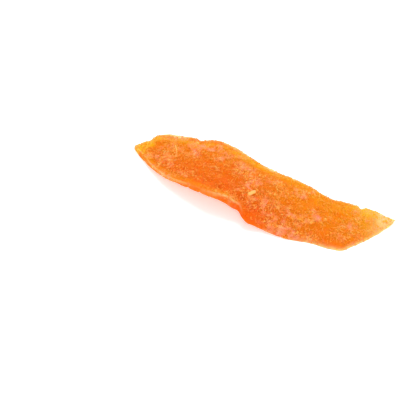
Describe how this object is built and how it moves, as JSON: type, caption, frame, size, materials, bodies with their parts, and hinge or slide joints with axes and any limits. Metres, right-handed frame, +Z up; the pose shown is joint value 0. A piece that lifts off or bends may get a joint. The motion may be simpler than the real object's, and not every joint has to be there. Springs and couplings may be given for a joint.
{
  "type": "dried mango slice",
  "caption": "Long arched slice of dried mango with a raised lip round its dished end, a thin pointed end and a coat of sugar grains.",
  "frame": {"origin": "under the middle of the slice's bounding box, on the surface that it rests on", "axes": "+X along the slice from its blunt end to its thin pointed end, +Y towards its straighter edge, +Z up through the face shown"},
  "size_m": [0.117, 0.0362, 0.0125],
  "materials": {
    "fruit_flesh": "orange translucent dried fruit flesh, leathery, frosted with pale sugar grains"
  },
  "bodies": {
    "root": {"mango_slice": "fruit_flesh"}
  },
  "joints": []
}
